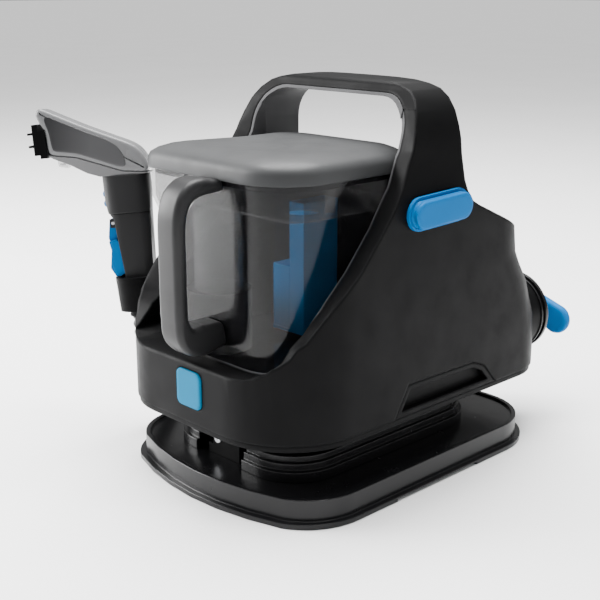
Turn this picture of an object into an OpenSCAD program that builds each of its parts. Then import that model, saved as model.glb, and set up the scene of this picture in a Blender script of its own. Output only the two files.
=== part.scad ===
// Spot extractor: a compact carpet and upholstery cleaner with a tip-out tank and a docked hand tool.
// Millimetres. +Z is up, the front faces -Y, and the origin is the centre of the base's underside.

/* [Base] */
// Width of the base tray
base_w = 247; // [240:1:262]
// Length of the base tray
base_l = 327; // [318:1:345]
// Corner radius of the base tray
base_corner_r = 61; // [50:1:70]
// How far the middle of the front edge bows out
base_bow = 17; // [8:1:22]
// Height of the tray's rim
base_rim_h = 22; // [21:0.5:25]
// Depth of the dished top below the rim
tray_dish = 2; // [1:0.5:3]
// Width of the foot that stands out round the rim
foot_w = 5; // [3:0.5:7]
// Height of that foot
foot_h = 4; // [3:0.5:6]
// Wall of the tray
tray_wall = 3; // [2.4:0.2:4]
// Thickness of the plate that closes the tray
plate_t = 3; // [2.5:0.5:4]
// Radius of an anti-slip pad
pad_r = 12; // [8:1:15]

/* [Waist] */
// Width of the stepped collar on the tray
collar_w = 168; // [156:1:180]
// Distance from the centre to the collar's front
collar_front = 127; // [122:1:132]
// Distance from the centre to the collar's rear
collar_rear = 114; // [108:1:120]
// Height of the collar
collar_h = 20; // [17:1:24]
// How far the column stands back from the collar
column_inset = 12; // [10:1:16]
// Height of the body's underside above the floor
body_z = 58; // [55:1:62]

/* [Housing] */
// Width of the housing
housing_w = 224; // [220:1:230]
// Distance from the centre to the front wall
housing_front = 161; // [160:0.5:163]
// Distance from the centre to the rear wall, at its foot
housing_rear = 185; // [182:1:190]
// Plan radius of the front corner on the right
front_corner_r = 74; // [66:1:84]
// Plan radius of the front corner on the left
left_corner_r = 59; // [50:1:64]
// Plan radius of the rear corners
rear_corner_r = 50; // [42:1:58]
// Wall of the housing
wall = 3; // [2.4:0.2:3.6]
// Wall of the tank bay's liner
liner_t = 2.5; // [2:0.25:3]
// Height of the belly pan
pan_h = 7; // [6:1:9]
// Height of the front lip above the floor
lip_z = 116; // [114:1:119]
// Height of the shelf that the tank stands on
shelf_z = 106; // [104:0.5:108]

/* [Carry handle] */
// Height of the top of the arch
arch_top = 331; // [328:1:334]
// Thickness of the arch's bar
bar_t = 13; // [12:1:16]
// Y of the arch's rear face
arch_rear = 42; // [40:1:46]
// Corner radius of the finger opening
opening_r = 30; // [24:1:34]
// Height of the top of the bay's rear wall
bay_back_z = 254; // [248:1:256]

/* [Tank] */
// Distance from the bay to the outside of the housing
side_w = 26; // [25:0.5:30]
// Distance from the centre to the tank's front
tank_front = 134; // [131:0.5:135]
// Distance from the centre to the tank's rear
tank_rear = 27; // [24:0.5:28]
// Corner radius of the tank
tank_corner_r = 45; // [38:1:52]
// Wall of the tank
tank_wall = 2.5; // [2:0.25:3]
// Height of the tank
tank_h = 154; // [150:1:156]
// Gap between the tank and the bay
bay_gap = 6; // [5:0.5:7]
// How far the lid stands out past the tank
lid_out = 2; // [1:0.5:3]
// Height of the lid's rim
lid_rim_h = 8; // [6:0.5:9]
// Height of the lid's dome above its rim
lid_dome_h = 12; // [8:0.5:13]
// How far the pouring lip stands out to the left
spout_out = 14; // [8:1:16]
// Width of the tank's handle
tank_handle_w = 26; // [22:1:32]
// Gap for the fingers behind the tank's handle
tank_grip_gap = 34; // [30:1:36]
// Depth of the handle's bar
tank_bar_d = 12; // [10:1:15]

/* [Buttons] */
// Width of the tank release button
release_w = 30; // [24:1:36]
// Height of the tank release button
release_h = 31; // [24:1:33]
// Travel of the tank release button
release_travel = 4; // [3:0.5:5]
// Length of the power button
power_l = 69; // [64:1:74]
// Height of the power button
power_h = 22; // [16:1:24]
// How far the power button stands proud
power_proud = 10; // [8:0.5:12]
// Travel of the power button
power_travel = 4; // [3:0.5:5]

/* [Hand tool] */
// Lean of the hand tool away from the body, in degrees
tool_lean = 7; // [4:1:9]
// Heading of the nozzle, in degrees from -X towards the front
tool_heading = 48; // [40:1:56]
// Width of the nozzle's mouth
mouth_w = 35; // [32:1:40]
// Distance from the grip's axis to the nozzle's mouth
mouth_x = 69; // [64:1:82]
// Width of the grip
grip_w = 34; // [30:1:38]
// Wall of the hand tool
tool_wall = 2.4; // [2:0.2:3]
// Radius of the suction way through the grip
grip_bore_r = 7; // [5:0.5:7.5]

/* [Hose] */
// Outer diameter of the hose
hose_d = 20; // [18:0.5:21]
// Bore of the hose
hose_bore = 15; // [12:0.5:16]
// Distance from rib to rib
rib_pitch = 7.5; // [7:0.5:12]
// Radius of the loop at the middle of the hose
loop_r = 120; // [110:1:130]

/* [Drive] */
// Radius of the vacuum fan
fan_r = 48; // [40:1:50]
// Radius of the motor
motor_r = 38; // [32:1:42]
// Radius of the motor's shaft
shaft_r = 4; // [3:0.5:5]
// Number of fan blades
fan_blades = 9; // [6:1:12]

/* [Cord hook] */
// Radius of the cord hub
hub_r = 38; // [32:1:39]
// Depth of the cord hub
hub_d = 10; // [8:1:14]
// Height of the hook's blade
hook_h = 29; // [24:1:32]

/* [Hidden] */
$fn = 64;

// Clearances: run is a running fit, fit a loose one, soft the gap round soft pieces.
run = 0.05;
fit = 0.3;
soft = 0.3;
// Cuts run this far past the faces that they open.
past = 1;
far = 400;

// Colours
charcoal = [0.19, 0.19, 0.2];
black = [0.04, 0.04, 0.045];
blue = [0.06, 0.52, 0.8];
clear_smoke = [0.5, 0.52, 0.55, 0.45];
grey = [0.4, 0.4, 0.41];
steel = [0.7, 0.7, 0.72];

// Heights
tray_top = base_rim_h - tray_dish;
collar_top = tray_top + collar_h;
housing_z = body_z + pan_h;
rim_z = shelf_z + tank_h;
bar_z = arch_top - bar_t;
pan_floor = body_z + wall;

// Widths
tank_w = housing_w - 2 * (side_w + bay_gap);
bay_hw = tank_w / 2 + bay_gap;
bay_rear = tank_rear + bay_gap;
bay_front = tank_front + bay_gap - past;

// Screws
screw_r = 1.9;
screw_head_r = 4;
screw_head_h = 1.4;
screw_l = 12;
boss_r = 5;

// ---- outlines ----

function arc(cx, cy, r, a0, a1, n = 10) =
    [for (i = [0:n]) [cx + r * cos(a0 + (a1 - a0) * i / n), cy + r * sin(a0 + (a1 - a0) * i / n)]];

// A rounded plan with its own front and rear corners and a front edge that bows forward.
function plan(hw, front, rear, rf, rr, bow = 0, rl = 0, n = 10) =
    let (
        lean = atan(2 * bow / max(hw - rf, 1)),
        cy = -front + bow + rf * cos(lean),
        edge = hw - rf + rf * sin(lean),
        left_r = rl > 0 ? rl : rf
    )
    concat(
        arc(hw - rr, rear - rr, rr, 0, 90, n),
        arc(rr - hw, rear - rr, rr, 90, 180, n),
        arc(left_r - hw, cy + left_r - rf, left_r, 180, 270 - lean, n),
        bow == 0 ? [] : [for (i = [-2:2]) [edge * i / 3, -front + bow * pow(i / 3, 2)]],
        arc(hw - rf, cy, rf, 270 + lean, 360, n)
    );

function base_plan(in = 0) =
    plan(base_w / 2 - in, base_l / 2 - in, base_l / 2 - in, base_corner_r - in, base_corner_r - in, base_bow);
function collar_plan(in = 0) =
    plan(collar_w / 2 - in, collar_front - in, collar_rear - in, 45 - in / 2, 45 - in / 2);
function housing_plan(in = 0, back = housing_rear - 1) =
    plan(housing_w / 2 - in, housing_front - in, back - in, front_corner_r - in, rear_corner_r - in, 0,
        left_corner_r - in);
function tank_plan(in = 0) =
    plan(tank_w / 2 - in, tank_front - in, tank_rear - in, tank_corner_r - in, tank_corner_r - in);

// The tank's plan at a height. Its front left corner is drawn out into a pouring lip
// as spout goes from 0 to 1.
spout_r = 24;
spout_lean = 15;
spout_back = 50;
function tank_ring(in, spout, z) =
    let (
        hw = tank_w / 2 - in,
        r = tank_corner_r - in,
        rs = (1 - spout) * r + spout * (spout_r - 0.4 * in)
    )
    lift(concat(
        arc(hw - r, tank_rear - in - r, r, 0, 90),
        arc(r - hw, tank_rear - in - r, r, 90, 180),
        [[-hw, -spout_back]],
        arc(rs - hw - spout_out * spout, rs - tank_front + in, rs, 180 + spout_lean * spout, 270),
        arc(hw - r, r - tank_front + in, r, 270, 360)
    ), z);

module prism(points, z0, z1) {
    translate([0, 0, z0]) linear_extrude(z1 - z0) polygon(points);
}

// Draws a (y, z) outline and extrudes it along X, from x0 to x1.
module along_x(x0, x1) {
    translate([x0, 0, 0]) rotate([90, 0, 90]) linear_extrude(x1 - x0) children();
}

// Draws an (x, z) outline and extrudes it along Y, from y0 to y1.
module along_y(y0, y1) {
    translate([0, y1, 0]) rotate([90, 0, 0]) linear_extrude(y1 - y0) children();
}

// A cylinder that starts at a point and runs along +Y.
module rod_y(at, r, l) {
    translate(at) rotate([-90, 0, 0]) cylinder(r = r, h = l);
}

// A cylinder that starts at a point and runs along +X.
module rod_x(at, r, l) {
    translate(at) rotate([0, 90, 0]) cylinder(r = r, h = l);
}

module rod_z(at, r, l) {
    translate(at) cylinder(r = r, h = l);
}

// A box with rounded corners in the XZ plane, centred on a point, from y0 to y1.
module pad_y(x, z, w, h, r, y0, y1) {
    along_y(y0, y1) translate([x, z]) rounded(w, h, r);
}

module rounded(w, h, r) {
    polygon(concat(
        arc(w / 2 - r, h / 2 - r, r, 0, 90, 6), arc(r - w / 2, h / 2 - r, r, 90, 180, 6),
        arc(r - w / 2, r - h / 2, r, 180, 270, 6), arc(w / 2 - r, r - h / 2, r, 270, 360, 6)
    ));
}

// A smooth solid through rings of equally many points, closed at both ends.
module loft(rings) {
    n = len(rings[0]);
    m = len(rings);
    points = [for (ring = rings) for (p = ring) p];
    faces = concat(
        [[for (i = [0:n - 1]) i]],
        [for (k = [0:m - 2]) for (i = [0:n - 1]) [k * n + i, (k + 1) * n + (i + 1) % n, k * n + (i + 1) % n]],
        [for (k = [0:m - 2]) for (i = [0:n - 1]) [k * n + i, (k + 1) * n + i, (k + 1) * n + (i + 1) % n]],
        [[for (i = [n - 1:-1:0]) (m - 1) * n + i]]
    );
    polyhedron(points, faces, convexity = 6);
}

function lift(points, z) = [for (p = points) [p[0], p[1], z]];

// ---- base and waist ----

screw_spots = [[-70, -95], [70, -95], [-70, 90], [70, 90]];
pad_spots = [[-88, -108], [88, -108], [-85, 122], [85, 122]];
belly_spots = [[-52, -88], [52, -88], [-52, 78], [52, 78]];

module base_tray() color(black) {
    difference() {
        union() {
            prism(base_plan(), 0, foot_h);
            prism(base_plan(foot_w), foot_h - past, base_rim_h);
        }
        prism(base_plan(foot_w + tray_wall), -past, tray_top - tray_wall);
        prism(base_plan(foot_w + tray_wall + 1), tray_top, base_rim_h + past);
        for (x = [-base_w / 2, base_w / 2])
            translate([x - foot_w, -47, -past]) cube([2 * foot_w, 104, past + 2.5]);
    }
    difference() {
        for (s = screw_spots) rod_z([s[0], s[1], plate_t], boss_r, tray_top - tray_wall - plate_t);
        for (s = screw_spots) rod_z([s[0], s[1], 0], screw_r + run, plate_t + screw_l);
    }
}

module base_plate() color(black) difference() {
    prism(base_plan(foot_w + tray_wall + fit), 0, plate_t);
    for (s = screw_spots) {
        rod_z([s[0], s[1], -past], screw_r + fit, plate_t + 2 * past);
        rod_z([s[0], s[1], -past], screw_head_r + fit, past + screw_head_h);
    }
    for (s = pad_spots) rod_z([s[0], s[1], -past], pad_r + fit, past + plate_t / 2);
}

module base_pads() color(black) for (s = pad_spots) rod_z([s[0], s[1], 0], pad_r, plate_t / 2);

// A pan-head screw that points along +Z, its head's seat at z = 0.
module screw() {
    translate([0, 0, -screw_head_h]) cylinder(r = screw_head_r, h = screw_head_h);
    cylinder(r = screw_r, h = screw_l);
}

bracket_x = -7;
bracket_w = 58;
bracket_screw_z = collar_top - 4.5;
bracket_screw_x = bracket_x - 7;
bracket_y = -collar_front + 6;

module case_screws() color(steel) {
    for (s = screw_spots) translate([s[0], s[1], screw_head_h]) difference() {
        screw();
        translate([0, 0, -screw_head_h - past]) cylinder(r = 2, h = past + 0.6, $fn = 6);
    }
    for (s = belly_spots) translate([s[0], s[1], body_z - wall]) screw();
    translate([bracket_screw_x, bracket_y, bracket_screw_z]) rotate([-90, 0, 0]) difference() {
        screw();
        translate([0, 0, -screw_head_h - past]) cylinder(r = 2, h = past + 0.6, $fn = 6);
    }
}

module bracket_gap(more = 0) {
    translate([bracket_x - bracket_w / 2 - more, -collar_front - past, tray_top - past])
        cube([bracket_w + 2 * more, 19 + more, collar_h + 2 * past]);
}

module waist_collar() color(black) difference() {
    union() {
        prism(collar_plan(), tray_top, tray_top + 9);
        prism(collar_plan(3), tray_top + 9 - past, tray_top + 15);
        prism(collar_plan(6), tray_top + 15 - past, collar_top);
    }
    prism(collar_plan(column_inset - fit), tray_top - past, collar_top + past);
    bracket_gap();
}

module waist_column() color(black) difference() {
    prism(collar_plan(column_inset), tray_top, body_z);
    prism(collar_plan(column_inset + wall), tray_top - past, body_z - wall);
    for (s = belly_spots) rod_z([s[0], s[1], tray_top], screw_r + fit, body_z);
    bracket_gap(fit);
}

module collar_bracket() color(black) difference() {
    union() {
        translate([bracket_x - 20, bracket_y, tray_top]) cube([40, 12, 8]);
        translate([bracket_x - 14, bracket_y, tray_top]) cube([34, 12, collar_h]);
    }
    rod_y([bracket_screw_x, bracket_y - past, bracket_screw_z], screw_r + run, 14 + past);
}

module belly_pan() color(charcoal) {
    difference() {
        union() {
            prism(housing_plan(5), body_z, pan_floor);
            prism(housing_plan(1.5), pan_floor - past, housing_z);
        }
        prism(housing_plan(wall + 1.5), pan_floor, housing_z + past);
        for (s = belly_spots) rod_z([s[0], s[1], 0], screw_r + run, pan_floor + 8);
    }
    difference() {
        for (s = belly_spots) rod_z([s[0], s[1], pan_floor], boss_r, 8);
        for (s = belly_spots) rod_z([s[0], s[1], 0], screw_r + run, pan_floor + 8);
    }
}

// ---- housing ----

// The side view, as [y, z]: the lip, the sweep up to the arch, the arch and the rear deck.
deck_tilt = 23.8;
deck_y = arch_rear + 18;
deck_top = arch_top - 102;
function deck_at(y) = deck_top - (y - deck_y) * tan(deck_tilt);
front_sweep = concat(
    arc(4 - housing_front, lip_z - 4, 4, 180, 90, 3),
    [for (p = [[13, 9], [26, 28], [40, 42], [58, 61], [80, 81], [106, 111], [128, 139], [143, 164], [156, 194]])
        [p[0] - housing_front, lip_z + p[1]]]
);
function side_view(bottom) = concat(
    [[-housing_front - past, bottom], [-housing_front - past, lip_z - 6]],
    front_sweep,
    arc(13, arch_top - 10, 10, 170, 90, 4),
    arc(arch_rear - 8, arch_top - 8, 8, 90, 0, 4),
    [for (p = [[0, 79], [2.5, 88.5], [9.5, 97.5]]) [arch_rear + p[0], arch_top - p[1]]],
    [[deck_y, deck_top], [housing_rear + 15, deck_at(housing_rear + 15)], [housing_rear + 15, bottom]]
);

// The front view, as [x, z]: straight sides that draw in to the arch.
front_edge = [[-past, 93], [0, 91], [3, 76], [6.5, 59], [8, 46], [10.5, 36], [15, 24], [22, 14], [31, 7.5],
    [42, 4], [56, 1.5], [74, 0.5], [94, 0]];
function front_half() = [for (p = front_edge) [housing_w / 2 - p[0], arch_top - p[1]]];
function front_view(bottom) = concat(
    [[housing_w / 2 + past, bottom]], front_half(),
    [for (i = [len(front_half()) - 1:-1:0]) [-front_half()[i][0], front_half()[i][1]]],
    [[-housing_w / 2 - past, bottom]]
);

// The rear wall, as [z, how far it stands in from the foot]: upright, then a slope forward, then upright again.
rear_line = [[81, 1], [114, 4], [148, 18], [166, 30], [177, 36], [191, 38], [207, 40.5]];
module plan_form(in, bottom) {
    loft(concat(
        [lift(housing_plan(in), bottom)],
        [for (p = rear_line) lift(housing_plan(in, housing_rear - p[1]), p[0])],
        [lift(housing_plan(in, housing_rear - 40.5), far)]
    ));
}

// Height of the lip in front of the bay, which follows the outer edge as the front wall curves back.
function lip_edge(x) =
    let (
        r = x < 0 ? left_corner_r : front_corner_r,
        over = max(abs(x) - housing_w / 2 + r, 0)
    )
    max(lip_z, lookup(r - housing_front - sqrt(pow(r, 2) - pow(over, 2)), front_sweep));

module lip_cut(in) {
    hw = bay_hw + in;
    along_y(-housing_front - past, -housing_front / 2)
        polygon(concat([for (i = [-10:10]) [hw * i / 10, lip_edge(hw * i / 10) - in]],
            [[hw, far], [-hw, far]]));
}

// A bevel along the inner edge of each side strip: its depth at each point of the sweep, and its width.
bevel_depths = [0.5, 4, 8, 10, 10, 10, 8, 3.5, 0.4];
bevel_w = 19;
bevel_path = [for (i = [4:len(front_sweep) - 1]) front_sweep[i]];
function sweep_out(i) =
    let (t = unit(bevel_path[min(i + 1, len(bevel_path) - 1)] - bevel_path[max(i - 1, 0)]))
    [-t[1], t[0]];
function bevel_point(i, x, depth) =
    [x, bevel_path[i][0] - depth * sweep_out(i)[0], bevel_path[i][1] - depth * sweep_out(i)[1]];
module strip_bevel(in) {
    over = 4;
    for (side = [0, 1]) mirror([side, 0, 0]) loft([for (i = [0:len(bevel_path) - 1])
        let (
            slope = bevel_depths[i] / bevel_w,
            deep = bevel_depths[i] + over * slope + in,
            high = over * slope - in
        )
        [
            bevel_point(i, bay_hw - over, deep),
            bevel_point(i, bay_hw - over, -9),
            bevel_point(i, bay_hw + bevel_w + over, -9),
            bevel_point(i, bay_hw + bevel_w + over, -high)
        ]]);
}

module housing_form(in = 0) {
    bottom = in > 0 ? housing_z - 3 * wall : housing_z;
    difference() {
        intersection() {
            plan_form(in, bottom);
            along_x(-far, far) offset(delta = -in) polygon(side_view(bottom));
            along_y(-far, far) offset(delta = -in) polygon(front_view(bottom));
        }
        lip_cut(in);
        strip_bevel(in);
    }
}

// The space for the tank, up to the underside of the arch's bar, and the finger opening behind it.
module bay_outline(out) {
    hw = bay_hw + out;
    polygon(concat(
        [[hw, 0]], arc(hw - opening_r, bar_z + out - opening_r, opening_r, 0, 90, 8),
        arc(opening_r - hw, bar_z + out - opening_r, opening_r, 90, 180, 8), [[-hw, 0]]
    ));
}

module bay_space(out = 0) {
    intersection() {
        union() {
            prism(plan(bay_hw + out, bay_front + out, bay_rear + out, tank_corner_r, tank_corner_r),
                shelf_z - out, far);
            translate([-far, 0, bay_back_z - out]) cube([2 * far, far, far]);
        }
        along_y(-far, far) bay_outline(out);
    }
}

// Recess low on each side, as [y, z], with a sloping front end.
module side_recess(in = 0) {
    offset(delta = -in) polygon([[-40, housing_z], [-24, 92], [62, 91], [78, 84], [95, housing_z]]);
}

hub_x = housing_w / 2 - 50;
hub_z = 102;
boss_y = housing_rear - 2;
port_y = 120;
port_z = 85;
hub_boss_r = hub_r - 2;
hub_boss_l = 28;
power_y = 4.5;
power_z = 233;
power_tilt = 2;
release_z = 94;
gland_x = 0;
gland_z = 77.5;
cap_x = 24;
cap_y = 112;
deck_z = deck_at(cap_y);
grille_x = -44;
grille_w = 56;
grille_z0 = 84;
grille_z1 = 124;
cap_r = 17;
duct_x = -26;
duct_z = 192;
duct_y = 66;
duct_r = 12;
inlet_x = -34;
inlet_y = -100;
inlet_r = 9;

module power_shape(l, h) {
    polygon(concat(arc((l - h) / 2, 0, h / 2, -90, 90, 12), arc((h - l) / 2, 0, h / 2, 90, 270, 12)));
}

module power_place() {
    translate([0, power_y, power_z]) rotate([power_tilt, 0, 0]) children();
}

module on_deck() {
    translate([cap_x, cap_y, deck_z]) rotate([-deck_tilt, 0, 0]) children();
}

module housing_shell() color(charcoal) {
    difference() {
        housing_form();
        housing_form(wall);
        bay_space(liner_t);
        pad_y(0, release_z, release_w + 2 * fit, release_h + 2 * fit, 6,
            -housing_front - past, -housing_front + 2 * wall);
        power_place() along_x(bay_hw + 2 * liner_t, housing_w)
            power_shape(power_l + 2 * fit, power_h + 2 * fit);
        along_x(bay_hw, housing_w) side_recess();
        along_x(-housing_w, -bay_hw) side_recess();
        rod_x([-housing_w, port_y, port_z], hose_d / 2 + 3 + fit, housing_w / 2 + 20);
        translate([grille_x - grille_w / 2, housing_rear - 50, grille_z0])
            cube([grille_w, 100, grille_z1 - grille_z0]);
        rod_y([gland_x, housing_rear - 40, gland_z], 7, 60);
        rod_y([hub_x, boss_y - hub_boss_l, hub_z], hub_boss_r - 1, 100);
        rod_y([hub_x, boss_y, hub_z], hub_r + fit, 60);
        on_deck() translate([0, 0, -20]) cylinder(r = cap_r, h = 60);
    }
    difference() {
        rod_y([hub_x, boss_y - hub_boss_l, hub_z], hub_boss_r, hub_boss_l);
        rod_y([hub_x, boss_y - hub_boss_l - past, hub_z], hub_boss_r - wall, hub_boss_l - wall);
        rod_y([hub_x, 0, hub_z], 4 + run, far);
    }
    difference() {
        rod_y([gland_x, housing_rear - 13, gland_z], 11, 13);
        rod_y([gland_x, housing_rear - 14, gland_z], 7, 15);
    }
    latch_ears();
}

// Two ears under the lip that carry the latch's pin.
module latch_ears() difference() {
    intersection() {
        for (x = [-14, 10]) translate([x, latch_y - 4.5, latch_pin_z - 6]) cube([4, 9, 30]);
        housing_form(1);
    }
    rod_x([-far, latch_y, latch_pin_z], latch_pin_r, 2 * far);
}

module bay_liner() color(charcoal) difference() {
    intersection() {
        bay_space(liner_t);
        housing_form();
    }
    bay_space();
    rod_z([inlet_x, inlet_y, 0], inlet_r, far / 2);
    rod_y([duct_x, 0, duct_z], duct_r - 2, 60);
}

module side_panel() {
    difference() {
        along_x(housing_w / 2 - 10, housing_w / 2 - 0.5) side_recess(fit);
        along_x(housing_w / 2 - 10 + wall, housing_w) side_recess(5);
    }
}

module side_panel_right() color(charcoal) side_panel();
module side_panel_left() color(charcoal) mirror([1, 0, 0]) side_panel();

module exhaust_grille() color(black) difference() {
    intersection() {
        housing_form();
        translate([grille_x - grille_w / 2 + fit, housing_rear - 50, grille_z0 + fit])
            cube([grille_w - 2 * fit, 100, grille_z1 - grille_z0 - 2 * fit]);
    }
    intersection() {
        housing_form(wall);
        translate([-far, 0, 0]) cube([2 * far, far, far]);
    }
    for (i = [0:5]) translate([grille_x - grille_w / 2 + 6, housing_rear - 60, grille_z0 + 5 + 5.6 * i])
        cube([grille_w - 12, 100, 2.8]);
}

// ---- tank release and power ----

button_proud = 2;
latch_y = -housing_front + 14;
latch_pin_z = 104;
latch_pin_r = 2;
flange_y = -housing_front + wall + fit;

module release_button() color(blue) {
    pad_y(0, release_z, release_w, release_h, 5.7, -housing_front - button_proud, flange_y);
    pad_y(0, release_z, release_w + 6, release_h - 4, 3, flange_y, flange_y + 1.5);
    rod_y([0, flange_y + 1.5, release_z - 8], 2.5, 6.3);
}

module release_spring() color(steel) coil_spring([13.5, flange_y + 1.5, release_z], 3, 6, 4);

// An open coil spring along +Y: one tube swept along a helix.
module coil_spring(at, r, l, turns) {
    steps = 8 * turns;
    wire = 0.45;
    translate(at) rotate([-90, 0, 0]) sweep(
        [for (i = [0:steps]) [r * cos(45 * i), r * sin(45 * i), wire + (l - 2 * wire) * i / steps]], wire, 6);
}

module tank_latch() color(black) difference() {
    union() {
        translate([-9, latch_y - 2, latch_pin_z - 20]) cube([18, 4, 17.5]);
        rod_x([-9, latch_y, latch_pin_z], 4, 18);
    }
    rod_x([-9 - past, latch_y, latch_pin_z], latch_pin_r + run, 18 + 2 * past);
}

module latch_pin() color(steel) rod_x([-14, latch_y, latch_pin_z], latch_pin_r, 28);

module power_bezel() color(blue) power_place() difference() {
    along_x(housing_w / 2, housing_w / 2 + 3) power_shape(power_l + 5, power_h + 5);
    along_x(0, housing_w) power_shape(power_l + 2 * fit, power_h + 2 * fit);
}

module power_button() color(blue) power_place() {
    along_x(housing_w / 2 - wall - 1, housing_w / 2 + power_proud) power_shape(power_l, power_h);
    along_x(housing_w / 2 - wall - 3, housing_w / 2 - wall - 1) power_shape(power_l - 6, power_h - 6);
}

module power_switch() color(black) power_place() {
    x1 = housing_w / 2 - wall - 3 - power_travel - soft;
    translate([bay_hw + liner_t, -12, -7]) cube([x1 - bay_hw - liner_t, 24, 14]);
}

// ---- tank ----

// The pouring lip grows out of the corner between two heights.
spout_z0 = shelf_z + 92;
spout_z1 = rim_z - 24;
module tank_form(in, z0, z1) {
    loft([tank_ring(in, 0, z0), tank_ring(in, 0, spout_z0), tank_ring(in, 1, spout_z1), tank_ring(in, 1, z1)]);
}

module tank_bowl() color(clear_smoke) difference() {
    tank_form(0, shelf_z, rim_z);
    tank_form(tank_wall, shelf_z + tank_wall, rim_z + past);
    rod_z([inlet_x, inlet_y, 0], inlet_r, far / 2);
    rod_y([duct_x, 0, duct_z], duct_r - 2, 60);
}

// The handle's side view, as [y, z].
module tank_handle() color(grey) {
    y0 = -tank_front - tank_grip_gap - tank_bar_d;
    y1 = -tank_front;
    top = rim_z + 4;
    foot = lip_z + 5;
    low = foot + 27;
    high = top - 15;
    along_x(-tank_handle_w / 2, tank_handle_w / 2) difference() {
        polygon(concat(arc(y0 + 24, foot + 24, 24, 270, 180, 8), arc(y0 + 24, top - 24, 24, 180, 90, 8),
            [[y1 - 12, top - 1], [y1 - 5, rim_z - 2], [y1, rim_z - 4], [y1, foot + 6], [y1 - 8, foot]]));
        polygon(concat(arc(y0 + tank_bar_d + 6, low + 6, 6, 270, 180, 6),
            arc(y0 + tank_bar_d + 18, high - 18, 18, 180, 90, 6), [[y1 + past, high - 3], [y1 + past, low]]));
    }
}

filter_r = 27;
filter_top = 160;

module inlet_filter() color(black) difference() {
    rod_z([inlet_x, inlet_y, shelf_z + tank_wall], filter_r, filter_top - shelf_z - tank_wall);
    rod_z([inlet_x, inlet_y, shelf_z + tank_wall - past], filter_r - 2, filter_top - shelf_z - tank_wall - 1);
}

module standpipe() color(clear_smoke) difference() {
    rod_z([inlet_x, inlet_y, filter_top], filter_r - 6, 66);
    rod_z([inlet_x, inlet_y, filter_top - past], filter_r - 8, 66 - 1);
    translate([inlet_x, inlet_y - 10, filter_top + 44]) cube([60, 20, 14]);
}

lid_hollow = 6;

module tank_lid() color(grey) difference() {
    loft(concat(
        [tank_ring(-lid_out, 1, rim_z), tank_ring(-lid_out, 1, rim_z + lid_rim_h)],
        [for (a = [18:18:90])
            tank_ring(-lid_out + 34 * (1 - cos(a)), 1, rim_z + lid_rim_h + lid_dome_h * sin(a))]
    ));
    prism(tank_plan(tank_wall + 3), rim_z - past, rim_z + lid_hollow);
    prism(tank_plan(24), rim_z - past, rim_z + lid_hollow + 9);
}

module seal_form(in, z0, z1) {
    loft([tank_ring(in, 1, z0), tank_ring(in, 1, z1)]);
}

module lid_seal() color(black) difference() {
    seal_form(tank_wall + soft, rim_z - 5, rim_z);
    seal_form(tank_wall + soft + 3, rim_z - 5 - past, rim_z + past);
}

baffle_z = 231;

module splash_baffle() color(clear_smoke) {
    difference() {
        prism(tank_plan(tank_wall + 3), baffle_z, baffle_z + 2);
        translate([-far, -far - 115, 0]) cube([2 * far, far, far]);
        rod_z([45, -80, 0], 14, far);
    }
    for (side = [-1, 1])
        rod_z([side * (tank_w / 2 - 14), -70, baffle_z + 1.99], 4, rim_z + lid_hollow - baffle_z - 1.99);
}

guide_x = -1;
guide_w = 17;
guide_y = -50;
guide_d = 40;
float_z = 120;
float_w = 20;
float_h = 55;

module float_guide() color(blue) {
    translate([guide_x, guide_y, float_z - 3]) cube([guide_w, guide_d, baffle_z - float_z + 3]);
    translate([guide_x - float_w - 1, guide_y, float_z - 3]) cube([float_w + 2, 20, 3 - soft]);
}

module float() color(blue) translate([guide_x - float_w - soft, guide_y, float_z]) cube([float_w, 20, float_h]);

module port_seal() color(black) difference() {
    rod_y([duct_x, tank_rear + soft, duct_z], duct_r + 3, bay_gap - soft);
    rod_y([duct_x, 0, duct_z], duct_r - 2, 60);
}

// ---- vacuum ----

motor_x = 0;
motor_y = 106;
fan_z = housing_z + 6;
fan_case_h = 20;
motor_h = 50;
fan_top = fan_z + fan_case_h;

// A plain tube with rounded bends: each corner of the route is cut back by the bend's radius.
function rounded_route(p, bend, n = 5) = [for (i = [0:len(p) - 1])
    let (
        first = i == 0 || i == len(p) - 1,
        a = first ? p[i] : p[i] + bend * unit(p[i - 1] - p[i]),
        b = first ? p[i] : p[i] + bend * unit(p[i + 1] - p[i])
    )
    for (t = first ? [0] : [0:1 / n:1]) (1 - t) * (1 - t) * a + 2 * t * (1 - t) * p[i] + t * t * b];

module bent_tube(route, r, bore, bend, start = [1, 0.02, 0.01]) {
    p = rounded_route(route, bend);
    hollow(p, start, [for (i = p) r], bore, 1, 16);
}

module suction_duct() color(black) bent_tube(
    [[duct_x, bay_rear + liner_t, duct_z], [duct_x, duct_y, duct_z], [duct_x, duct_y, fan_top - 1.5]],
    duct_r - 3, duct_r - 5, 9);

module fan_case_outer() {
    rod_z([motor_x, motor_y, fan_z], fan_r + 6, fan_case_h);
}

module fan_housing() color(black) {
    difference() {
        fan_case_outer();
        rod_z([motor_x, motor_y, fan_z + 2], fan_r + 3, fan_case_h - 4);
        rod_z([motor_x, motor_y, fan_z], shaft_r + 3, far);
        rod_z([duct_x, duct_y, fan_top - 4], duct_r - 3 + fit, 10);
        translate([motor_x - 15, motor_y, fan_z + 4]) cube([30, 80, fan_case_h - 8]);
    }
    for (a = [45:90:360])
        rod_z([motor_x + 40 * cos(a), motor_y + 40 * sin(a), pan_floor], 4, fan_z - pan_floor);
}

module fan_impeller() color(grey) difference() {
    union() {
        rod_z([motor_x, motor_y, fan_z + 4], fan_r, 2);
        rod_z([motor_x, motor_y, fan_z + 4], 9, 12);
        for (i = [0:fan_blades - 1])
            translate([motor_x, motor_y, fan_z + 4]) rotate([0, 0, 360 * i / fan_blades])
            translate([7, -1, 0]) cube([fan_r - 9, 2, 11]);
    }
    rod_z([motor_x, motor_y, fan_z], shaft_r, 30);
}

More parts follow.
